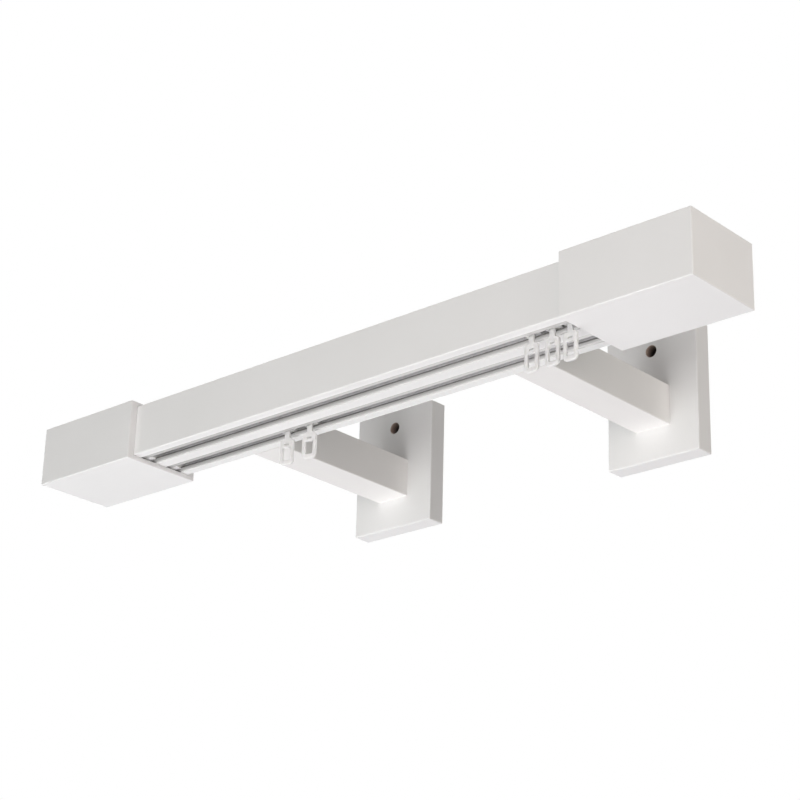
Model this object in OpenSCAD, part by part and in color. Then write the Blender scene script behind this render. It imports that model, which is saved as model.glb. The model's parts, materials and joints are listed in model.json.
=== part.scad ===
// Double curtain rod on two wall brackets: a lacquered bar with two glider tracks let into its underside.
// Frame: X runs along the rod to the right, Y points into the wall, Z is up, in millimetres.
// The origin lies on the wall, midway between the two wall screw holes.

/* [Rod] */
// Length of the rod that shows between the two end caps
rod_gap = 409; // [360:1:1200]
// Depth of the rod, front to rear
rod_d = 56; // [54:0.5:80]
// Height of the rod
rod_h = 39.5; // [34:0.5:60]
// Rounding of the lacquered edges
edge_r = 0.8; // [0.5:0.1:1.5]

/* [End caps] */
// Length of an end cap along the rod
cap_len = 102; // [70:1:140]
// How far a cap stands out past the rod's front and rear faces
cap_side = 6; // [4:0.5:12]
// How far a cap stands out past the rod's top and bottom faces
cap_rim = 3.5; // [2:0.5:12]
// How far the rod reaches into a cap
cap_grip = 45; // [30:1:60]

/* [Tracks] */
// Outer width of a track
track_w = 15.2; // [14.8:0.1:16.4]
// Outer height of a track
track_h = 11.5; // [10:0.1:14]
// Thickness of a track's side walls
track_side = 1.2; // [0.8:0.1:1.3]
// Thickness of a track's roof
track_roof = 1.8; // [1.6:0.1:2.2]
// Thickness of a track's two lips
lip_t = 1.5; // [1:0.1:2]
// Width of the slot between the lips
slot_w = 5.6; // [5.4:0.1:6.6]
// Distance between the two slots
track_pitch = 25.7; // [24.5:0.1:27.5]
// Depth of the lips above the rod's underside
track_recess = 0.6; // [0:0.1:1]

/* [Track ends] */
// Length of a stop plug
stop_len = 8; // [6:0.5:12]
// How far the left stops show beyond the left cap
left_stop_out = 5.5; // [0:0.5:8]
// How far the right stops show beyond the right cap
right_stop_out = 0; // [0:0.5:4]

/* [Brackets] */
// Distance between the two arms, which is also that between the wall holes
bracket_pitch = 251; // [200:1:270]
// Distance from the left cap to the middle of the left arm
left_reach = 88; // [60:1:88]
// Width of a wall plate
plate_w = 79; // [60:1:110]
// Height of a wall plate
plate_h = 100; // [90:1:130]
// Thickness of a wall plate
plate_t = 15.5; // [12:0.5:20]
// Width of an arm
arm_w = 30; // [28:0.5:38]
// Height of an arm
arm_h = 30.5; // [26:0.5:33]
// Length of an arm, from its plate to the rod
arm_len = 139; // [100:1:200]
// Distance from the foot of a plate up to its arm
arm_rise = 24.3; // [10:0.1:28]

/* [Wall holes] */
// Radius of a wall screw hole
wall_hole_r = 2.6; // [2:0.1:3.2]
// Radius of the bore that takes the wall screw's head, at the plate's face
wall_bore_r = 4.7; // [4.3:0.1:6]
// Depth of that bore
wall_bore_depth = 10; // [5:0.5:10]
// Distance from the top of a plate down to its hole
hole_drop = 15; // [10:1:20]

/* [Fasteners] */
// Radius of the shank of a cap screw
cap_screw_r = 1.5; // [1.2:0.1:1.8]
// Length of a cap screw
cap_screw_len = 16; // [14:1:18]
// Radius of the shank of a track screw
track_screw_r = 1.2; // [1:0.1:1.4]
// Length of a track screw
track_screw_len = 12; // [8:1:14]
// Radius of the shank of an arm screw
arm_screw_r = 2.5; // [2:0.1:2.8]
// Length of an arm screw
arm_screw_len = 60; // [40:1:70]
// Radius of a dowel
dowel_r = 3; // [2:0.5:3]
// Length of a dowel
dowel_len = 24; // [18:1:30]
// Depth of a dowel in the wall plate
dowel_in_plate = 10; // [6:0.5:10]
// Distance of a dowel from the middle of its arm
dowel_offset = 9; // [7.5:0.5:9.5]
// Radius of a rod stud
stud_r = 3; // [2.5:0.5:4]
// Length of a rod stud
stud_len = 50; // [40:1:60]
// Depth of a rod stud in the rod
stud_in_rod = 25; // [15:1:30]
// Height of a rod stud above the rod's underside
stud_rise = 20; // [18:0.5:21]
// Radius of the grub screw that locks a stud
lock_r = 2.5; // [2:0.1:3]
// Distance of the grub screw from the rod's rear face
lock_back = 12; // [6:1:18]

/* [Gliders] */
// Length of a glider's head along the track
head_l = 12; // [10:0.5:13]
// Width of a glider's head across the track
head_w = 9.8; // [9:0.1:10.2]
// Thickness of a glider's head
head_t = 2.4; // [1.6:0.1:3]
// Thickness of a glider's neck and eye
glider_t = 2.2; // [1.8:0.1:2.6]
// Width of a glider's neck
neck_w = 4; // [2.4:0.1:4.6]
// Length of the neck below the rod
neck_drop = 3.4; // [1:0.1:5]
// Height of the sloping shoulder between the neck and the eye
shoulder_h = 2.1; // [1.5:0.1:5]
// Width of the eye
eye_w = 11.3; // [9:0.1:12]
// Height of the eye below the shoulder
eye_h = 18.8; // [17:0.1:24]
// Radius of the eye's lower corners
eye_r = 3.2; // [2:0.1:4.4]
// Width of the eye's two rails
rail_w = 2.7; // [1.6:0.1:3.2]
// Thickness of the eye below its window
foot_t = 3.5; // [1.8:0.1:4]
// Height of the long window that takes the curtain hook
window_h = 9.6; // [8:0.1:11]
// Width of the short slit above the window
slit_w = 3.8; // [2:0.1:5]
// Height of the short slit
slit_h = 1.2; // [0.8:0.1:1.5]
// Thickness of the bar between the slit and the window
bar_t = 2.3; // [1.4:0.1:3]
// Distance from the left cap to the rear track's left glider
rear_start = 123.3; // [90:0.1:180]
// Distance between the rear track's two gliders
rear_space = 22.6; // [15:0.1:40]
// Distance between the front track's left and middle gliders
front_space_left = 17.1; // [15:0.1:30]
// Distance between the front track's middle and right gliders
front_space_right = 14.5; // [14:0.1:30]
// Angle by which the rear track's left glider is turned in its slot
rear_left_turn = 18; // [0:1:18]
// Angle by which the rear track's right glider is turned
rear_right_turn = 16; // [0:1:18]

/* [Clearances] */
// Gap between a cap's pocket and the rod
cap_fit = 0.2; // [0.1:0.05:0.4]
// Gap between a groove's sides and its track
groove_fit = 0.2; // [0.1:0.05:0.4]
// Radial gap round screws, dowels and studs
pin_fit = 0.05; // [0.02:0.01:0.1]
// Gap round a stop plug inside its track
stop_fit = 0.15; // [0.05:0.05:0.3]
// Gap between a glider's head and the lips that it rides on
ride_fit = 0.2; // [0.1:0.05:0.4]
// Gap between the last glider and its stop
park_fit = 0.3; // [0.2:0.05:0.6]

/* [Hidden] */
$fn = 48;
// Overlap that keeps cutting faces from coinciding
cut = 0.5;
// Height of a countersunk head over the difference of its radii
sink_slope = 1;
// Depth and slot width of a cross recess, as shares of the head's radius
recess_depth = 0.55;
recess_slot = 0.3;

white_lacquer = [0.93, 0.93, 0.92];
track_white = [0.80, 0.80, 0.80];
glider_white = [0.90, 0.90, 0.88];
screw_steel = [0.62, 0.63, 0.65];
dowel_beech = [0.80, 0.64, 0.42];

// Places along X
left_arm_x = -bracket_pitch / 2;
right_arm_x = bracket_pitch / 2;
left_cap_x = left_arm_x - left_reach;
right_cap_x = left_cap_x + rod_gap;
rod_left = left_cap_x - cap_grip;
rod_right = right_cap_x + cap_grip;
rod_len = rod_right - rod_left;

// Places along Y
plate_front = -plate_t;
rod_rear = plate_front - arm_len;
rod_front = rod_rear - rod_d;
rod_mid = (rod_front + rod_rear) / 2;
cap_rear = rod_rear + cap_side;
cap_d = rod_d + 2 * cap_side;
front_track_y = rod_mid - track_pitch / 2;
rear_track_y = rod_mid + track_pitch / 2;

// Places along Z
plate_top = hole_drop;
plate_foot = plate_top - plate_h;
rod_foot = plate_foot + arm_rise;
rod_top = rod_foot + rod_h;
arm_mid = rod_foot + arm_h / 2;
cap_h = rod_h + 2 * cap_rim;
rod_mid_z = rod_foot + rod_h / 2;
lip_foot = rod_foot + track_recess;
lip_top = lip_foot + lip_t;
groove_roof = lip_foot + track_h;
track_ceiling = groove_roof - track_roof;
stud_z = rod_foot + stud_rise;

// Sizes of the tracks, stops and fasteners
groove_w = track_w + 2 * groove_fit;
channel_w = track_w - 2 * track_side;
plug_w = channel_w - 2 * stop_fit;
tongue_w = slot_w - 2 * stop_fit;
cap_head_r = 2 * cap_screw_r;
track_head_r = 2.2 * track_screw_r;
arm_head_r = 2 * arm_screw_r;
cap_screw_reach = cap_grip / 2;
track_screw_inset = 60;
track_screw_x = [rod_left + track_screw_inset, (rod_left + rod_right) / 2, rod_right - track_screw_inset];

// Places of the gliders along X
stop_left_face = left_cap_x + left_stop_out;
stop_right_face = right_cap_x - right_stop_out;
rear_left_x = left_cap_x + rear_start;
rear_right_x = rear_left_x + rear_space;
front_right_x = stop_right_face - park_fit - head_l / 2;
front_middle_x = front_right_x - front_space_right;
front_left_x = front_middle_x - front_space_left;

// Sizes of a glider
head_r = 2;
crown_inset = 1.6;
crown_t = 0.8;
window_r = 1;
window_w = eye_w - 2 * rail_w;

// Rectangle with round corners, centred on the origin
module round_rect(w, h, r) {
    square([w - 2 * r, h], center = true);
    square([w, h - 2 * r], center = true);
    for (x = [-1, 1], y = [-1, 1]) {
        translate([x * (w / 2 - r), y * (h / 2 - r)]) circle(r = r);
    }
}

// A flat shape drawn in Y and Z, extruded along X from x0 to x1
module along_x(x0, x1) {
    translate([x0, 0, 0]) rotate([90, 0, 90]) linear_extrude(x1 - x0) children();
}

// A flat shape drawn in X and Z, extruded along Y from y0 to y1
module along_y(y0, y1) {
    translate([0, y1, 0]) rotate([90, 0, 0]) linear_extrude(y1 - y0) children();
}

// A rod along +Y that starts at y = 0
module y_rod(r, len) {
    rotate([-90, 0, 0]) cylinder(r = r, h = len);
}

// Block centred on X and Y, standing on z = 0, with all its edges rounded
module soft_block(w, d, h, r) {
    intersection() {
        linear_extrude(h) round_rect(w, d, r);
        translate([0, 0, h / 2]) along_x(-w / 2, w / 2) round_rect(d, h, r);
        translate([0, 0, h / 2]) along_y(-d / 2, d / 2) round_rect(w, h, r);
    }
}

// Countersunk screw: its flat head lies at z = 0 and its shank points up
module countersunk_screw(shank_r, head_r, len) {
    head_h = (head_r - shank_r) * sink_slope;
    tip_h = 2 * shank_r;
    slot = head_r * recess_slot;
    difference() {
        union() {
            cylinder(r1 = head_r, r2 = shank_r, h = head_h);
            cylinder(r = shank_r, h = len - tip_h);
            translate([0, 0, len - tip_h]) cylinder(r1 = shank_r, r2 = shank_r / 4, h = tip_h);
        }
        for (turn = [0, 90]) {
            rotate([0, 0, turn]) {
                translate([-head_r * recess_depth, -slot / 2, -cut]) {
                    cube([2 * head_r * recess_depth, slot, cut + head_r * recess_depth]);
                }
            }
        }
    }
}

// Hole for such a screw, with the radial gap
module countersunk_hole(shank_r, head_r, len) {
    head_h = (head_r - shank_r) * sink_slope;
    cylinder(r1 = head_r + pin_fit, r2 = shank_r + pin_fit, h = head_h);
    translate([0, 0, -cut]) cylinder(r = head_r + pin_fit, h = cut);
    cylinder(r = shank_r + pin_fit, h = len + pin_fit);
}

// Places of the fasteners, used by the piece and by each hole for it
module at_cap_screw(cap_x, side) {
    translate([cap_x + side * cap_screw_reach, cap_rear, rod_mid_z + rod_h / 4]) rotate([90, 0, 0]) children();
}

module at_track_screws(track_y) {
    for (x = track_screw_x) {
        translate([x, track_y, track_ceiling]) children();
    }
}

module at_arm_screw(arm_x) {
    translate([arm_x, 0, arm_mid]) rotate([90, 0, 0]) children();
}

module at_arm_dowels(arm_x) {
    for (side = [-1, 1]) {
        translate([arm_x + side * dowel_offset, plate_front + dowel_in_plate, arm_mid]) {
            rotate([90, 0, 0]) children();
        }
    }
}

module at_rod_stud(arm_x) {
    translate([arm_x, rod_rear - stud_in_rod, stud_z]) children();
}

module at_stud_lock(arm_x) {
    translate([arm_x, rod_rear + lock_back, stud_z + stud_r]) children();
}

module dowel(gap) {
    translate([0, 0, -gap]) cylinder(r = dowel_r + gap, h = dowel_len + 2 * gap);
}

// Section of the rod and its two grooves
module rod_section() {
    difference() {
        translate([rod_mid, rod_mid_z]) round_rect(rod_d, rod_h, edge_r);
        for (y = [front_track_y, rear_track_y]) {
            translate([y - groove_w / 2, rod_foot - cut]) square([groove_w, groove_roof - rod_foot + cut]);
        }
    }
}

module rod_body() {
    color(white_lacquer) difference() {
        along_x(rod_left, rod_right) rod_section();
        for (y = [front_track_y, rear_track_y]) {
            at_track_screws(y) cylinder(r = track_screw_r + pin_fit, h = track_screw_len + pin_fit);
        }
        at_cap_screw(left_cap_x, -1) cylinder(r = cap_screw_r + pin_fit, h = cap_screw_len + pin_fit);
        at_cap_screw(right_cap_x, 1) cylinder(r = cap_screw_r + pin_fit, h = cap_screw_len + pin_fit);
        for (x = [left_arm_x, right_arm_x]) {
            at_rod_stud(x) translate([0, -pin_fit, 0]) y_rod(stud_r + pin_fit, stud_len);
        }
    }
}

// Section of a track, with its slot between two lips
module track_section(y) {
    difference() {
        translate([y - track_w / 2, lip_foot]) square([track_w, track_h]);
        translate([y - channel_w / 2, lip_top]) square([channel_w, track_ceiling - lip_top]);
        translate([y - slot_w / 2, lip_foot - cut]) square([slot_w, lip_t + 2 * cut]);
    }
}

module track(y) {
    color(track_white) difference() {
        along_x(rod_left, rod_right) track_section(y);
        at_track_screws(y) countersunk_hole(track_screw_r, track_head_r, track_screw_len);
    }
}

module front_track() {
    track(front_track_y);
}

module rear_track() {
    track(rear_track_y);
}

// Solid block with a pocket for the rod's end; side is -1 at the left and 1 at the right
module end_cap(cap_x, side) {
    pocket_x0 = min(cap_x, cap_x + side * cap_grip) - (side > 0 ? cut : 0);
    pocket_x1 = max(cap_x, cap_x + side * cap_grip) + (side < 0 ? cut : 0);
    color(white_lacquer) difference() {
        translate([cap_x + side * cap_len / 2, rod_mid, rod_foot - cap_rim]) {
            soft_block(cap_len, cap_d, cap_h, edge_r);
        }
        translate([0, rod_mid, rod_mid_z]) along_x(pocket_x0, pocket_x1) {
            square([rod_d + 2 * cap_fit, rod_h + 2 * cap_fit], center = true);
        }
        at_cap_screw(cap_x, side) countersunk_hole(cap_screw_r, cap_head_r, cap_screw_len);
    }
}

module left_end_cap() {
    end_cap(left_cap_x, -1);
}

module right_end_cap() {
    end_cap(right_cap_x, 1);
}

module left_cap_screw() {
    color(screw_steel) at_cap_screw(left_cap_x, -1) countersunk_screw(cap_screw_r, cap_head_r, cap_screw_len);
}

module right_cap_screw() {
    color(screw_steel) at_cap_screw(right_cap_x, 1) countersunk_screw(cap_screw_r, cap_head_r, cap_screw_len);
}

module front_track_screws() {
    color(screw_steel) at_track_screws(front_track_y) {
        countersunk_screw(track_screw_r, track_head_r, track_screw_len);
    }
}

module rear_track_screws() {
    color(screw_steel) at_track_screws(rear_track_y) {
        countersunk_screw(track_screw_r, track_head_r, track_screw_len);
    }
}

// Plug that sits on the lips and fills the slot, from x0 to x0 + stop_len
module stop_plug(x0, y) {
    color(glider_white) translate([0, y, 0]) along_x(x0, x0 + stop_len) {
        translate([-plug_w / 2, lip_top]) square([plug_w, track_ceiling - lip_top - stop_fit]);
        translate([-tongue_w / 2, lip_foot]) square([tongue_w, lip_t + cut]);
    }
}

module front_left_stop() {
    stop_plug(stop_left_face - stop_len, front_track_y);
}

module front_right_stop() {
    stop_plug(stop_right_face, front_track_y);
}

module rear_left_stop() {
    stop_plug(stop_left_face - stop_len, rear_track_y);
}

module rear_right_stop() {
    stop_plug(stop_right_face, rear_track_y);
}

module wall_plate(arm_x) {
    color(white_lacquer) difference() {
        translate([arm_x, plate_front / 2, plate_foot]) soft_block(plate_w, plate_t, plate_h, edge_r);
        translate([arm_x, plate_front - cut, 0]) y_rod(wall_hole_r, plate_t + 2 * cut);
        translate([arm_x, plate_front - cut, 0]) y_rod(wall_bore_r, wall_bore_depth + cut);
        at_arm_screw(arm_x) countersunk_hole(arm_screw_r, arm_head_r, arm_screw_len);
        at_arm_dowels(arm_x) dowel(pin_fit);
    }
}

module left_wall_plate() {
    wall_plate(left_arm_x);
}

module right_wall_plate() {
    wall_plate(right_arm_x);
}

module arm(arm_x) {
    color(white_lacquer) difference() {
        translate([arm_x, 0, arm_mid]) along_y(rod_rear, plate_front) round_rect(arm_w, arm_h, edge_r);
        at_arm_screw(arm_x) cylinder(r = arm_screw_r + pin_fit, h = arm_screw_len + pin_fit);
        at_arm_dowels(arm_x) dowel(pin_fit);
        at_rod_stud(arm_x) y_rod(stud_r + pin_fit, stud_len + pin_fit);
        at_stud_lock(arm_x) cylinder(r = lock_r + pin_fit, h = arm_h);
    }
}

module left_arm() {
    arm(left_arm_x);
}

module right_arm() {
    arm(right_arm_x);
}

module arm_screw(arm_x) {
    color(screw_steel) at_arm_screw(arm_x) countersunk_screw(arm_screw_r, arm_head_r, arm_screw_len);
}

module left_arm_screw() {
    arm_screw(left_arm_x);
}

module right_arm_screw() {
    arm_screw(right_arm_x);
}

module arm_dowels(arm_x) {
    color(dowel_beech) at_arm_dowels(arm_x) dowel(0);
}

module left_arm_dowels() {
    arm_dowels(left_arm_x);
}

module right_arm_dowels() {
    arm_dowels(right_arm_x);
}

module rod_stud(arm_x) {
    color(screw_steel) at_rod_stud(arm_x) y_rod(stud_r, stud_len);
}

module left_rod_stud() {
    rod_stud(left_arm_x);
}

module right_rod_stud() {
    rod_stud(right_arm_x);
}

// Grub screw from the arm's top down to the stud, with a hexagon socket
module stud_lock(arm_x) {
    lock_len = rod_foot + arm_h - stud_z - stud_r;
    socket_r = lock_r * 0.6;
    socket_depth = min(lock_r, lock_len / 2);
    color(screw_steel) at_stud_lock(arm_x) difference() {
        cylinder(r = lock_r, h = lock_len);
        translate([0, 0, lock_len - socket_depth]) cylinder(r = socket_r, h = socket_depth + cut, $fn = 6);
    }
}

module left_stud_lock() {
    stud_lock(left_arm_x);
}

module right_stud_lock() {
    stud_lock(right_arm_x);
}

// Outline of a glider below its head, in X and Z, with z = 0 at the rod's underside
module glider_outline() {
    shoulder_foot = -neck_drop - shoulder_h;
    eye_foot = shoulder_foot - eye_h;
    window_foot = eye_foot + foot_t;
    slit_foot = window_foot + window_h + bar_t;
    difference() {
        union() {
            translate([-neck_w / 2, -neck_drop]) square([neck_w, neck_drop + lip_top - rod_foot + ride_fit]);
            polygon([[-neck_w / 2, -neck_drop], [neck_w / 2, -neck_drop],
                [eye_w / 2, shoulder_foot], [-eye_w / 2, shoulder_foot]]);
            translate([-eye_w / 2, eye_foot + eye_r]) square([eye_w, eye_h - eye_r]);
            translate([-eye_w / 2 + eye_r, eye_foot]) square([eye_w - 2 * eye_r, eye_h]);
            for (side = [-1, 1]) {
                translate([side * (eye_w / 2 - eye_r), eye_foot + eye_r]) circle(r = eye_r);
            }
        }
        translate([0, window_foot + window_h / 2]) round_rect(window_w, window_h, window_r);
        translate([-slit_w / 2, slit_foot]) square([slit_w, slit_h]);
    }
}

// Moulded glider: a flat head that rides on the lips, a neck through the slot and an eye below
module glider(x, y, turn = 0) {
    color(glider_white) translate([x, y, rod_foot]) rotate([0, 0, turn]) {
        along_y(-glider_t / 2, glider_t / 2) glider_outline();
        translate([0, 0, lip_top - rod_foot + ride_fit]) {
            linear_extrude(head_t) round_rect(head_l, head_w, head_r);
            translate([0, 0, head_t]) linear_extrude(crown_t) {
                round_rect(head_l - 2 * crown_inset, head_w - 2 * crown_inset, head_r);
            }
        }
    }
}

module rear_glider_left() {
    glider(rear_left_x, rear_track_y, rear_left_turn);
}

module rear_glider_right() {
    glider(rear_right_x, rear_track_y, rear_right_turn);
}

module front_glider_left() {
    glider(front_left_x, front_track_y);
}

module front_glider_middle() {
    glider(front_middle_x, front_track_y);
}

module front_glider_right() {
    glider(front_right_x, front_track_y);
}

rod_body();
front_track();
rear_track();
left_end_cap();
right_end_cap();
left_cap_screw();
right_cap_screw();
front_track_screws();
rear_track_screws();
front_left_stop();
front_right_stop();
rear_left_stop();
rear_right_stop();
left_wall_plate();
right_wall_plate();
left_arm();
right_arm();
left_arm_screw();
right_arm_screw();
left_arm_dowels();
right_arm_dowels();
left_rod_stud();
right_rod_stud();
left_stud_lock();
right_stud_lock();
rear_glider_left();
rear_glider_right();
front_glider_left();
front_glider_middle();
front_glider_right();
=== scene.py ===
"""Looks of the double curtain rod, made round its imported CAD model.

The bar, its end caps and its brackets are lacquered white, and the two tracks are satin aluminium. The
gliders and the tracks' stops are milky plastic, the screws and studs are zinc-plated steel, and the dowels
are beech. Places are in the part's own frame, in metres: X along the rod, Y into the wall, Z up.
"""

import json
import math

import bmesh
import bpy
from mathutils import Matrix, Vector

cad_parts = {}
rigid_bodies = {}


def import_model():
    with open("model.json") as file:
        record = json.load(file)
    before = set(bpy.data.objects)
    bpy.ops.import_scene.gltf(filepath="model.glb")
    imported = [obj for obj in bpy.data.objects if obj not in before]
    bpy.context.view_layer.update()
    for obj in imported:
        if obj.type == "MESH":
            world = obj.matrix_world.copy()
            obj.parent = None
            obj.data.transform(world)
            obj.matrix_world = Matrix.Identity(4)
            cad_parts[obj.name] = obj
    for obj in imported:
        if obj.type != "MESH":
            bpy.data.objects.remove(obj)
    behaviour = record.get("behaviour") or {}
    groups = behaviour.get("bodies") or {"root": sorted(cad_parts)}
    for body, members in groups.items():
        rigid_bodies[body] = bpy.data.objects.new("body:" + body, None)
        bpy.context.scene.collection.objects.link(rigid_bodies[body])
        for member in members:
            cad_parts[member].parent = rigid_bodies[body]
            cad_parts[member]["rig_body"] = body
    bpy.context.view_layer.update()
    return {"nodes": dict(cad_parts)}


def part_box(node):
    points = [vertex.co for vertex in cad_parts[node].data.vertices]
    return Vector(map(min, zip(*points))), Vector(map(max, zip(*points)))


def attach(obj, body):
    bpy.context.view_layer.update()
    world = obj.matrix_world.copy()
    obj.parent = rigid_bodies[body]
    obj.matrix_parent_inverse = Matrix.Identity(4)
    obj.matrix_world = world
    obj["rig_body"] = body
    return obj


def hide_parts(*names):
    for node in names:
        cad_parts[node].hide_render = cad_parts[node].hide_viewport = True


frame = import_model()

MM = 0.001


def middle(node):
    """Middle of a CAD node's box."""
    low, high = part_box(node)
    return (low + high) / 2


# Places taken from the CAD: the wall holes, the plates' face, the rod's underside and middle, and the tracks
HOLE_X = middle("right_wall_plate").x
PLATE_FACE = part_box("right_wall_plate")[0].y
ROD_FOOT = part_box("rod_body")[0].z
ROD_MIDDLE = middle("rod_body").y
SLOT_OFF = middle("rear_track").y - ROD_MIDDLE
TRACK_LOW, TRACK_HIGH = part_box("front_track")
TRACK_HALF = (TRACK_HIGH.y - TRACK_LOW.y) / 2
TRACK_ENDS = (TRACK_LOW.x, TRACK_HIGH.x)

# Widths of the rounded edges, the steps across them, and the share of its width that a glider's head gets
TRACK_ROUNDING = 0.25 * MM
STOP_ROUNDING = 0.3 * MM
GLIDER_ROUNDING = 0.55 * MM
ROUNDING_STEPS = 3
GLIDER_STEPS = 4
HEAD_SHARE = 0.4

# How far over the rod's underside a glider's neck still gets its full rounding
NECK_REACH = 0.5 * MM

# Distance up to which points are one, and angle up to which two faces become one flat face
SAME_POINT = 0.001 * MM
FLAT_ANGLE = math.radians(1)

# Angles between two faces from which their edge is rounded, and from which it is shaded as a crease
EDGE_ANGLE = math.radians(30)
CREASE_ANGLE = math.radians(35)

# Share of its length that an edge has to run along X, to count as running along a track
ALONG_TRACK = 0.999

# Camera: place, azimuth to the left of +Y, elevation and roll in degrees, and focal length and sensor width
# in millimetres
CAMERA_PLACE = (0.9307, -1.1687, -0.6103)
CAMERA_AZIMUTH = 42.358
CAMERA_ELEVATION = 22.099
CAMERA_ROLL = -1.642
CAMERA_LENS = 93.90
CAMERA_SENSOR = 36.0

# Floor: height, side, the colour that it shows, its glow to the eye, and the grey that it gives back as light
FLOOR_Z = -1.4
FLOOR_SIDE = 120.0
FLOOR_SHOWN = (0.5, 0.5, 0.5, 1)
FLOOR_GLOW = 0.85
FLOOR_BOUNCE = (0.25, 0.25, 0.25, 1)

# World: its colour, its level as plain light, and its level to the eye
WORLD_WHITE = (1, 1, 1, 1)
WORLD_LEVEL = 0.1
WORLD_SHOWN = 1.0

# The point that the lamps face, and each square lamp's place, side, watts and colour
LAMP_AIM = (0, -0.15, -0.03)
PLAIN = (1, 1, 1)
WARM = (1, 0.98, 0.955)
LAMPS = {
    "below_light": ((0, -0.3, -1.3), 0.6, 9.0, (1, 0.95, 0.98)),
    "below_left_light": ((-1.4, -0.3, -1.25), 0.6, 9.8, (0.94, 1, 0.99)),
    "low_front_light": ((0, -2.0, -0.7), 1.2, 24.0, (0.99, 1, 0.98)),
    "front_right_light": ((1.4, -1.4, -0.1), 1.2, 8.7, (1, 0.88, 0.85)),
    "right_light": ((1.2, -0.2, -0.1), 0.7, 5.7, (0.985, 0.95, 0.9)),
    "top_light": ((-0.5, 0.4, 1.4), 1.2, 12.0, PLAIN),
    "back_left_light": ((-1.6, 0.6, 0.6), 1.2, 12.5, WARM),
    "back_light": ((-0.3, 1.6, 0.5), 1.2, 17.0, WARM),
}

# A noise lies mostly in the first range, and its two colours blend over the second
NOISE_RANGE = (0.3, 0.7)
BLEND_RANGE = (0.35, 0.65)

# In what follows, a texture is its features to the metre, its detail, and its scale along X, Y and Z, where a
# low scale draws it out. A relief is its depth and strength, and a roughness is its lowest and highest level.
EVEN = (1, 1, 1)

# Lacquer: colours, a warmer pair for the arms, textures, and the timber's grain under it along each axis
LACQUER_WHITE = (0.76, 0.76, 0.758, 1)
LACQUER_SHADE = (0.745, 0.745, 0.742, 1)
# The arms' warmer pair is painted light: it stands in for the warm bounced light on their shaded sides
ARM_BOUNCE_TINTED_WHITE = (0.752, 0.745, 0.735, 1)
ARM_BOUNCE_TINTED_SHADE = (0.737, 0.73, 0.72, 1)
LACQUER_CLOUDS = (14, 3, EVEN)
LACQUER_SATIN = (60, 3, EVEN)
LACQUER_ROUGH = (0.44, 0.54)
LACQUER_PEEL = (700, 2, EVEN)
PEEL_RELIEF = (0.03 * MM, 1.0)
GRAIN_ALONG_X = (900, 4, (0.02, 1, 1))
GRAIN_ALONG_Y = (900, 4, (1, 0.02, 1))
GRAIN_UPRIGHT = (900, 4, (1, 1, 0.02))
GRAIN_RELIEF = (0.02 * MM, 0.5)
LACQUER_IOR = 1.48
LACQUER_GLOSS = 0.3

# Painted shade on rounded edges, which tones down their highlight: the flatness up to which an edge is
# darkened fully, as on the middle of a rounded edge, and from which a face keeps its whole colour, and the
# share of its colour that a darkened edge keeps
EDGE_SHADE_FLATNESS = 0.72
UNSHADED_FLATNESS = 0.99
EDGE_SHADE_TONE = 0.87

# Raw board in a plate's screw hole: colours, fibres, and how far from the hole's middle it shows; then
# painted
# shade in the hole: the depth at which it is darkest, and the share of its colour that the board keeps there
BOARD_LIGHT = (0.64, 0.52, 0.45, 1)
BOARD_DARK = (0.42, 0.32, 0.27, 1)
BOARD_FIBRES = (1400, 5, EVEN)
BOARD_RADIUS = 4.75 * MM
BOARD_SHADE_DEPTH = 8 * MM
BOARD_SHADE_TONE = 0.1

# Aluminium: colours inside a track, kept lighter than the lips as painted light in the slot, the fine lines
# of the extrusion, and the height over which it is inside
CHANNEL_LIGHT = (0.95, 0.94, 0.945, 1)
CHANNEL_DARK = (0.89, 0.88, 0.885, 1)
TRACK_LINES = (1500, 4, (0.01, 1, 1))
TRACK_RELIEF = (0.02 * MM, 0.6)
TRACK_SATIN = (300, 3, (0.05, 1, 1))
TRACK_ROUGH = (0.5, 0.6)
LIP_TOP = TRACK_LOW.z + 1.3 * MM

# Painted shade and reflections across the underside of a track: colours from its front edge to its rear edge,
# by share of the way
LIP_PAINTED_SHADING = (
    (0.0, (0.42, 0.415, 0.41, 1)),
    (0.3, (0.46, 0.455, 0.45, 1)),
    (0.7, (0.235, 0.23, 0.225, 1)),
    (0.85, (0.34, 0.335, 0.33, 1)),
    (1.0, (0.6, 0.595, 0.59, 1)),
)

# Painted shade inside a track: heights between which it darkens upwards, and the shares of its colour that
# the inside keeps at them
CHANNEL_SHADE_HEIGHTS = (LIP_TOP + 2.8 * MM, LIP_TOP + 3.9 * MM)
CHANNEL_SHADE_TONES = (1.0, 0.7)

# Painted shade and reflections along a track: factors on the colours of its lips and of its inside, at the
# track's left end and at its right end
LIP_END_PAINTED_SHADING = (0.92, 1.26)
CHANNEL_END_PAINTED_SHADING = (0.88, 1.04)

# Plastic: colours and textures, how deep light goes in, the share of that depth that red, green and blue
# light reach, and the share of the light that passes through
PLASTIC_WHITE = (0.82, 0.817, 0.813, 1)
PLASTIC_SHADE = (0.77, 0.767, 0.763, 1)
PLASTIC_CLOUDS = (350, 2, EVEN)
PLASTIC_SATIN = (900, 2, EVEN)
PLASTIC_ROUGH = (0.28, 0.4)
PLASTIC_DENTS = (1600, 2, EVEN)
PLASTIC_RELIEF = (0.01 * MM, 0.6)
PLASTIC_IOR = 1.49
PLASTIC_DEPTH = 4 * MM
PLASTIC_SCATTER = (1.0, 1.0, 0.95)
PLASTIC_CLEAR = 0.2

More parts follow.
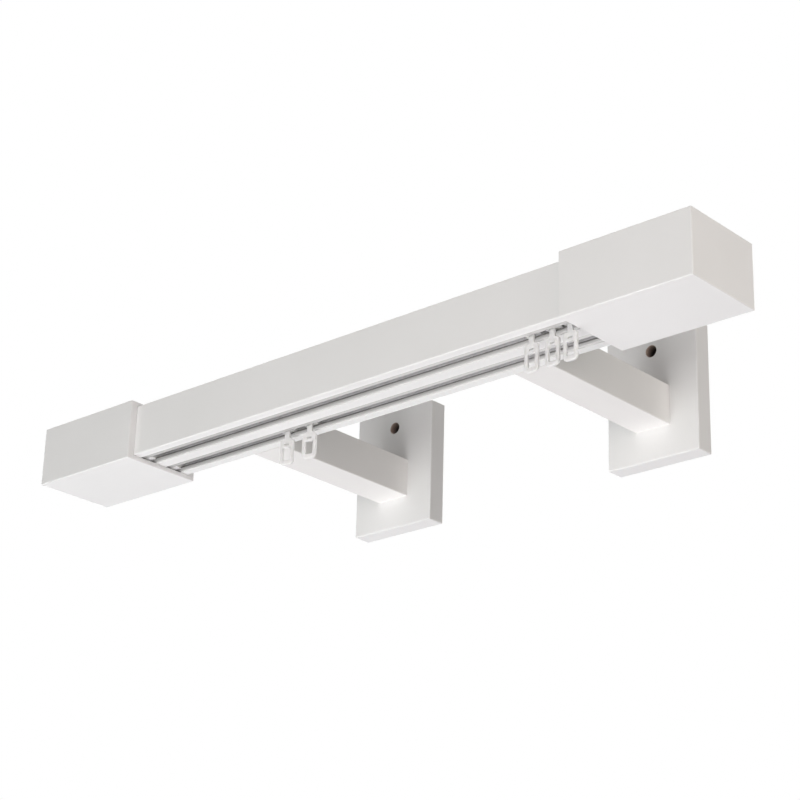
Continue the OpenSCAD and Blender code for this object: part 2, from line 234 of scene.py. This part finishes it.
# Zinc-plated steel: colours and textures
ZINC_LIGHT = (0.72, 0.73, 0.75, 1)
ZINC_DARK = (0.52, 0.53, 0.55, 1)
ZINC_CLOUDS = (600, 4, EVEN)
ZINC_SATIN = (1100, 3, EVEN)
ZINC_ROUGH = (0.25, 0.45)
ZINC_DENTS = (2500, 3, EVEN)
ZINC_RELIEF = (0.01 * MM, 0.7)

# Beech: colours, textures, and its single level of roughness
BEECH_LIGHT = (0.78, 0.60, 0.40, 1)
BEECH_DARK = (0.62, 0.44, 0.27, 1)
BEECH_FLECKS = (900, 5, (1, 0.08, 1))
BEECH_GRAIN = (1500, 4, (1, 0.05, 1))
BEECH_RELIEF = (0.05 * MM, 0.6)
BEECH_ROUGH = 0.6

# Places of a Mix node's sockets when it mixes colours: the factor, the two colours, and the result
MIX_FACTOR = 0
MIX_FIRST = 6
MIX_SECOND = 7
MIX_RESULT = 2


def plug(tree, socket, value):
    """Sets an input to a plain value, or links it to the output socket that feeds it."""
    if isinstance(value, bpy.types.NodeSocket):
        tree.links.new(value, socket)
    else:
        socket.default_value = value


def add(tree, kind, inputs=None, **settings):
    """A new shader node. An input is a plain value, or the output socket that feeds it."""
    made = tree.nodes.new(kind)
    for name, value in settings.items():
        setattr(made, name, value)
    for name, value in (inputs or {}).items():
        plug(tree, made.inputs[name], value)
    return made


def feed(tree, shader, **sockets):
    """Links or sets the shader's inputs; an underscore in a name stands for a space."""
    for name, value in sockets.items():
        plug(tree, shader.inputs[name.replace("_", " ")], value)


def emptied(owner):
    """The node tree of a new material or world, with nothing in it."""
    owner.use_nodes = True
    owner.node_tree.nodes.clear()
    return owner.node_tree


def new_material(name):
    """A new material, its tree, its Principled shader and the part's own coordinates."""
    material = bpy.data.materials.new(name)
    tree = emptied(material)
    shader = add(tree, "ShaderNodeBsdfPrincipled")
    add(tree, "ShaderNodeOutputMaterial", {"Surface": shader.outputs["BSDF"]})
    place = add(tree, "ShaderNodeTexCoord").outputs["Object"]
    return material, tree, shader, place


def calculate(tree, operation, first, second=0.0):
    """Result of that operation on two values; some operations use the first one only."""
    return add(tree, "ShaderNodeMath", {0: first, 1: second}, operation=operation).outputs[0]


def axes_of(tree, vector):
    """The X, Y and Z outputs of a vector, by name."""
    return add(tree, "ShaderNodeSeparateXYZ", {"Vector": vector}).outputs


def map_range(tree, value, ends, new_ends):
    """The value carried from one pair of ends to another, and held at the new ends."""
    inputs = {"Value": value, "From Min": ends[0], "From Max": ends[1]}
    inputs.update({"To Min": new_ends[0], "To Max": new_ends[1]})
    return add(tree, "ShaderNodeMapRange", inputs).outputs["Result"]


def noise(tree, place, texture):
    """Noise from 0 to 1 with that texture."""
    features, detail, stretch = texture
    mapping = add(tree, "ShaderNodeMapping", {"Vector": place, "Scale": stretch})
    inputs = {"Vector": mapping.outputs["Vector"], "Scale": features, "Detail": detail}
    return add(tree, "ShaderNodeTexNoise", inputs).outputs["Fac"]


def spread(tree, factor, levels):
    """A noise spread between those two levels."""
    return map_range(tree, factor, NOISE_RANGE, levels)


def bands(tree, factor, tones):
    """Colour that passes through each (position, colour) pair of tones while factor goes from 0 to 1."""
    ramp = add(tree, "ShaderNodeValToRGB", {"Fac": factor})
    stops = ramp.color_ramp.elements
    for stop, (position, colour) in zip(stops, (tones[0], tones[-1])):
        stop.position = position
        stop.color = colour
    for position, colour in tones[1:-1]:
        stops.new(position).color = colour
    return ramp.outputs["Color"]


def blend_colours(tree, factor, low, high):
    """Colour that goes from low to high with a noise."""
    return bands(tree, factor, tuple(zip(BLEND_RANGE, (low, high))))


def mix_colours(tree, factor, first, second):
    """The first colour where factor is 0, and the second where it is 1."""
    inputs = {MIX_FACTOR: factor, MIX_FIRST: first, MIX_SECOND: second}
    return add(tree, "ShaderNodeMix", inputs, data_type="RGBA").outputs[MIX_RESULT]


def scaled(tree, colour, factor):
    """The colour times that factor."""
    inputs = {0: colour, "Scale": factor}
    return add(tree, "ShaderNodeVectorMath", inputs, operation="SCALE").outputs["Vector"]


def bump(tree, height, relief, normal=None):
    """Normal of a surface with that relief, laid on another normal if one is given."""
    depth, strength = relief
    inputs = {"Height": height, "Distance": depth, "Strength": strength}
    if normal is not None:
        inputs["Normal"] = normal
    return add(tree, "ShaderNodeBump", inputs).outputs["Normal"]


def flatness(tree):
    """1 on a face that is square to an axis, and about 0.7 in the middle of a rounded edge."""
    normal = add(tree, "ShaderNodeTexCoord").outputs["Normal"]
    size = add(tree, "ShaderNodeVectorMath", {0: normal}, operation="ABSOLUTE").outputs["Vector"]
    axes = axes_of(tree, size)
    most = calculate(tree, "MAXIMUM", axes["X"], axes["Y"])
    return calculate(tree, "MAXIMUM", most, axes["Z"])


def lacquer(name, grain, white=LACQUER_WHITE, shade=LACQUER_SHADE):
    """Sprayed satin lacquer: slight orange peel, and the timber's grain faintly raised along one axis."""
    material, tree, shader, place = new_material(name)
    tone = blend_colours(tree, noise(tree, place, LACQUER_CLOUDS), shade, white)
    # Painted shade: rounded edges are darkened to tone down their highlight
    painted_edge_shade = map_range(tree, flatness(tree), (EDGE_SHADE_FLATNESS, UNSHADED_FLATNESS), (EDGE_SHADE_TONE, 1.0))
    tone = scaled(tree, tone, painted_edge_shade)
    peel = bump(tree, noise(tree, place, LACQUER_PEEL), PEEL_RELIEF)
    relief = bump(tree, noise(tree, place, grain), GRAIN_RELIEF, peel)
    rough = spread(tree, noise(tree, place, LACQUER_SATIN), LACQUER_ROUGH)
    feed(tree, shader, Base_Color=tone, Roughness=rough, Normal=relief)
    feed(tree, shader, IOR=LACQUER_IOR, Specular_IOR_Level=LACQUER_GLOSS)
    return material, tree, shader, place, tone


def plate_lacquer():
    """Lacquer that shows the raw board in the two wall screw holes, where it was drilled away."""
    material, tree, shader, place, tone = lacquer("lacquer_plate", GRAIN_UPRIGHT)
    axes = axes_of(tree, place)
    sideways = calculate(tree, "SUBTRACT", calculate(tree, "ABSOLUTE", axes["X"]), HOLE_X)
    from_hole = add(tree, "ShaderNodeCombineXYZ", {"X": sideways, "Y": axes["Z"]}).outputs["Vector"]
    radius = add(tree, "ShaderNodeVectorMath", {0: from_hole}, operation="LENGTH").outputs["Value"]
    inside = calculate(tree, "LESS_THAN", radius, BOARD_RADIUS)
    fibres = blend_colours(tree, noise(tree, place, BOARD_FIBRES), BOARD_DARK, BOARD_LIGHT)
    # Painted shade: the board darkens deeper in the hole
    shade_depths = (PLATE_FACE, PLATE_FACE + BOARD_SHADE_DEPTH)
    board = scaled(tree, fibres, map_range(tree, axes["Y"], shade_depths, (1.0, BOARD_SHADE_TONE)))
    feed(tree, shader, Base_Color=mix_colours(tree, inside, tone, board))
    return material


def track_metal():
    """Satin aluminium with fine lines, and painted shade and reflections: across and along its lips, and
    upwards inside.
    """
    material, tree, shader, place = new_material("track_aluminium")
    axes = axes_of(tree, place)
    across = calculate(tree, "SUBTRACT", axes["Y"], ROD_MIDDLE)
    slot = calculate(tree, "MULTIPLY", calculate(tree, "SIGN", across), SLOT_OFF)
    from_slot = calculate(tree, "SUBTRACT", across, slot)
    # Painted shade and reflections across the lips, from their front edge to their rear edge
    lip_painted_shading = bands(tree, map_range(tree, from_slot, (-TRACK_HALF, TRACK_HALF), (0.0, 1.0)), LIP_PAINTED_SHADING)
    # Painted shade and reflections along the lips: darker at the left end, lighter at the right
    lip_painted_shading = scaled(tree, lip_painted_shading, map_range(tree, axes["X"], TRACK_ENDS, LIP_END_PAINTED_SHADING))
    lines = noise(tree, place, TRACK_LINES)
    channel_painted_shade = blend_colours(tree, lines, CHANNEL_DARK, CHANNEL_LIGHT)
    # Painted shade: the inside darkens upwards
    channel_painted_shade = scaled(tree, channel_painted_shade, map_range(tree, axes["Z"], CHANNEL_SHADE_HEIGHTS, CHANNEL_SHADE_TONES))
    # Painted shade along the inside: darker at the left end
    channel_painted_shade = scaled(tree, channel_painted_shade, map_range(tree, axes["X"], TRACK_ENDS, CHANNEL_END_PAINTED_SHADING))
    inside = calculate(tree, "GREATER_THAN", axes["Z"], LIP_TOP)
    tone = mix_colours(tree, inside, lip_painted_shading, channel_painted_shade)
    rough = spread(tree, noise(tree, place, TRACK_SATIN), TRACK_ROUGH)
    relief = bump(tree, lines, TRACK_RELIEF)
    feed(tree, shader, Base_Color=tone, Roughness=rough, Normal=relief, Metallic=1.0)
    return material


def glider_plastic():
    """Milky moulded plastic that lets some light through."""
    material, tree, shader, place = new_material("milky_plastic")
    tone = blend_colours(tree, noise(tree, place, PLASTIC_CLOUDS), PLASTIC_SHADE, PLASTIC_WHITE)
    rough = spread(tree, noise(tree, place, PLASTIC_SATIN), PLASTIC_ROUGH)
    relief = bump(tree, noise(tree, place, PLASTIC_DENTS), PLASTIC_RELIEF)
    feed(tree, shader, Base_Color=tone, Roughness=rough, Normal=relief)
    feed(tree, shader, Subsurface_Weight=1.0, Subsurface_Radius=PLASTIC_SCATTER)
    feed(tree, shader, Subsurface_Scale=PLASTIC_DEPTH, Transmission_Weight=PLASTIC_CLEAR, IOR=PLASTIC_IOR)
    return material


def zinc_steel():
    """Zinc-plated steel, slightly clouded and worn."""
    material, tree, shader, place = new_material("zinc_steel")
    tone = blend_colours(tree, noise(tree, place, ZINC_CLOUDS), ZINC_DARK, ZINC_LIGHT)
    rough = spread(tree, noise(tree, place, ZINC_SATIN), ZINC_ROUGH)
    relief = bump(tree, noise(tree, place, ZINC_DENTS), ZINC_RELIEF)
    feed(tree, shader, Base_Color=tone, Roughness=rough, Normal=relief, Metallic=1.0)
    return material


def beech():
    """Beech with short dark flecks along the grain."""
    material, tree, shader, place = new_material("beech")
    tone = blend_colours(tree, noise(tree, place, BEECH_FLECKS), BEECH_DARK, BEECH_LIGHT)
    relief = bump(tree, noise(tree, place, BEECH_GRAIN), BEECH_RELIEF)
    feed(tree, shader, Base_Color=tone, Roughness=BEECH_ROUGH, Normal=relief)
    return material


def paint(piece, material):
    """Gives a piece that one material on all its faces."""
    piece.data.materials.clear()
    piece.data.materials.append(material)
    for face in piece.data.polygons:
        face.material_index = 0


def weighed_mesh(node, weight):
    """A copy of a CAD node's mesh with whole flat faces, and with weight(edge) on each of its sharp edges."""
    mesh = frame["nodes"][node].data.copy()
    work = bmesh.new()
    work.from_mesh(mesh)
    bmesh.ops.remove_doubles(work, verts=work.verts, dist=SAME_POINT)
    bmesh.ops.dissolve_limit(work, angle_limit=FLAT_ANGLE, verts=work.verts, edges=work.edges)
    layers = work.edges.layers.float
    layer = layers.get("bevel_weight_edge") or layers.new("bevel_weight_edge")
    for edge in work.edges:
        sharp = len(edge.link_faces) == 2 and edge.calc_face_angle(0) > EDGE_ANGLE
        edge[layer] = weight(edge) if sharp else 0.0
    work.to_mesh(mesh)
    work.free()
    if mesh.has_custom_normals:
        mesh.attributes.remove(mesh.attributes["custom_normal"])
    return mesh


def softened(name, node, material, width, weight, steps=ROUNDING_STEPS):
    """A copy that stands for a CAD node; weight(edge) is the share of the width that rounds an edge."""
    piece = bpy.data.objects.new(name, weighed_mesh(node, weight))
    bpy.context.scene.collection.objects.link(piece)
    rounding = piece.modifiers.new("rounding", "BEVEL")
    rounding.width = width
    rounding.segments = steps
    rounding.limit_method = "WEIGHT"
    rounding.use_clamp_overlap = False
    shown = piece.evaluated_get(bpy.context.evaluated_depsgraph_get())
    piece.data = bpy.data.meshes.new_from_object(shown)
    piece.modifiers.clear()
    piece.data.shade_smooth()
    piece.data.set_sharp_from_angle(angle=CREASE_ANGLE)
    paint(piece, material)
    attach(piece, frame["nodes"][node]["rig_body"])
    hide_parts(node)


def every_edge(edge):
    """Full rounding on any edge."""
    return 1.0


def lies_along_x(edge):
    """Full rounding on an edge that runs along the track, and none on any other."""
    run = edge.verts[1].co - edge.verts[0].co
    return 1.0 if abs(run.x) > ALONG_TRACK * run.length else 0.0


def below_rod(edge):
    """Full rounding on a glider's eye and neck, less on its head inside the track."""
    top = max(vertex.co.z for vertex in edge.verts)
    return 1.0 if top < ROD_FOOT + NECK_REACH else HEAD_SHARE


def dress_nodes():
    """Gives the CAD nodes their materials; a node that gets a rounded copy doesn't show its own."""
    along_x = lacquer("lacquer_along_x", GRAIN_ALONG_X)[0]
    # The arms' lacquer is tinted warmer as painted bounce light
    along_y = lacquer("lacquer_along_y", GRAIN_ALONG_Y, ARM_BOUNCE_TINTED_WHITE, ARM_BOUNCE_TINTED_SHADE)[0]
    upright = plate_lacquer()
    steel = zinc_steel()
    timber = beech()
    finishes = {
        "rod_body": along_x,
        "left_end_cap": along_x,
        "right_end_cap": along_x,
        "left_arm": along_y,
        "right_arm": along_y,
        "left_wall_plate": upright,
        "right_wall_plate": upright,
        "left_arm_dowels": timber,
        "right_arm_dowels": timber,
    }
    for node, piece in frame["nodes"].items():
        paint(piece, finishes.get(node, steel))


def round_tracks(plastic):
    """Rounds the long edges of both tracks, and all edges of the stops in their ends."""
    aluminium = track_metal()
    for line in ("front", "rear"):
        track = f"{line}_track"
        softened(f"{track}_extrusion", track, aluminium, TRACK_ROUNDING, lies_along_x)
        for end in ("left", "right"):
            stop = f"{line}_{end}_stop"
            softened(f"{stop}_plug", stop, plastic, STOP_ROUNDING, every_edge)


def round_gliders(plastic):
    """Rounds the edges of all the gliders."""
    gliders = [node for node in frame["nodes"] if "glider" in node]
    for node in gliders:
        name = f"{node}_moulding"
        softened(name, node, plastic, GLIDER_ROUNDING, below_rod, GLIDER_STEPS)


def seen_directly(tree):
    """1 for what the eye sees, also in metal and through glass, and 0 for what only gives light."""
    rays = add(tree, "ShaderNodeLightPath").outputs
    eye = calculate(tree, "MAXIMUM", rays["Is Camera Ray"], rays["Is Glossy Ray"])
    return calculate(tree, "MAXIMUM", eye, rays["Is Transmission Ray"])


def lit_or_seen(tree, lit, seen):
    """A surface that gives light as one shader does, and shows the eye what the other does."""
    inputs = {0: seen_directly(tree), 1: lit.outputs[0], 2: seen.outputs[0]}
    return add(tree, "ShaderNodeMixShader", inputs).outputs[0]


def make_floor():
    """A large pale floor, far below the object."""
    bpy.ops.mesh.primitive_plane_add(size=FLOOR_SIDE, location=(0, 0, FLOOR_Z))
    floor = bpy.context.object
    floor.name = "floor"
    material = bpy.data.materials.new("floor")
    tree = emptied(material)
    bounce = add(tree, "ShaderNodeBsdfDiffuse", {"Color": FLOOR_BOUNCE})
    pale = add(tree, "ShaderNodeBsdfDiffuse", {"Color": FLOOR_SHOWN})
    glow = add(tree, "ShaderNodeEmission", {"Strength": FLOOR_GLOW})
    shown = add(tree, "ShaderNodeAddShader", {0: pale.outputs[0], 1: glow.outputs[0]})
    add(tree, "ShaderNodeOutputMaterial", {"Surface": lit_or_seen(tree, bounce, shown)})
    paint(floor, material)


def make_lamps():
    """Soft square lamps all round the part, which the camera doesn't see."""
    for name, (place, side, watts, colour) in LAMPS.items():
        lamp = bpy.data.lights.new(name, "AREA")
        lamp.shape = "SQUARE"
        lamp.size = side
        lamp.energy = watts
        lamp.color = colour
        holder = bpy.data.objects.new(name, lamp)
        holder.location = place
        holder.rotation_euler = (Vector(place) - Vector(LAMP_AIM)).to_track_quat("Z", "Y").to_euler()
        holder.visible_camera = False
        bpy.context.scene.collection.objects.link(holder)


def make_world():
    """A world that is plain light but shows white."""
    world = bpy.data.worlds.new("plain_world")
    bpy.context.scene.world = world
    tree = emptied(world)
    light = add(tree, "ShaderNodeBackground", {"Color": WORLD_WHITE, "Strength": WORLD_LEVEL})
    white = add(tree, "ShaderNodeBackground", {"Color": WORLD_WHITE, "Strength": WORLD_SHOWN})
    add(tree, "ShaderNodeOutputWorld", {"Surface": lit_or_seen(tree, light, white)})


def turned(degrees, axis):
    """A turn by that angle round that axis."""
    return Matrix.Rotation(math.radians(degrees), 4, axis)


def make_camera():
    """The photograph's viewpoint: from the right and below, looking up at the underside."""
    # A camera looks straight down until it is raised to the horizontal
    raised = turned(90, "X")
    turn = turned(CAMERA_AZIMUTH, "Z") @ turned(CAMERA_ELEVATION, "X") @ turned(CAMERA_ROLL, "Y") @ raised
    data = bpy.data.cameras.new("photo_camera")
    data.lens = CAMERA_LENS
    data.sensor_width = CAMERA_SENSOR
    camera = bpy.data.objects.new("photo_camera", data)
    camera.matrix_world = Matrix.Translation(CAMERA_PLACE) @ turn
    bpy.context.scene.collection.objects.link(camera)
    bpy.context.scene.camera = camera


milky_plastic = glider_plastic()
dress_nodes()
round_tracks(milky_plastic)
round_gliders(milky_plastic)
make_floor()
make_lamps()
make_world()
make_camera()
bpy.context.scene.view_settings.view_transform = "Standard"
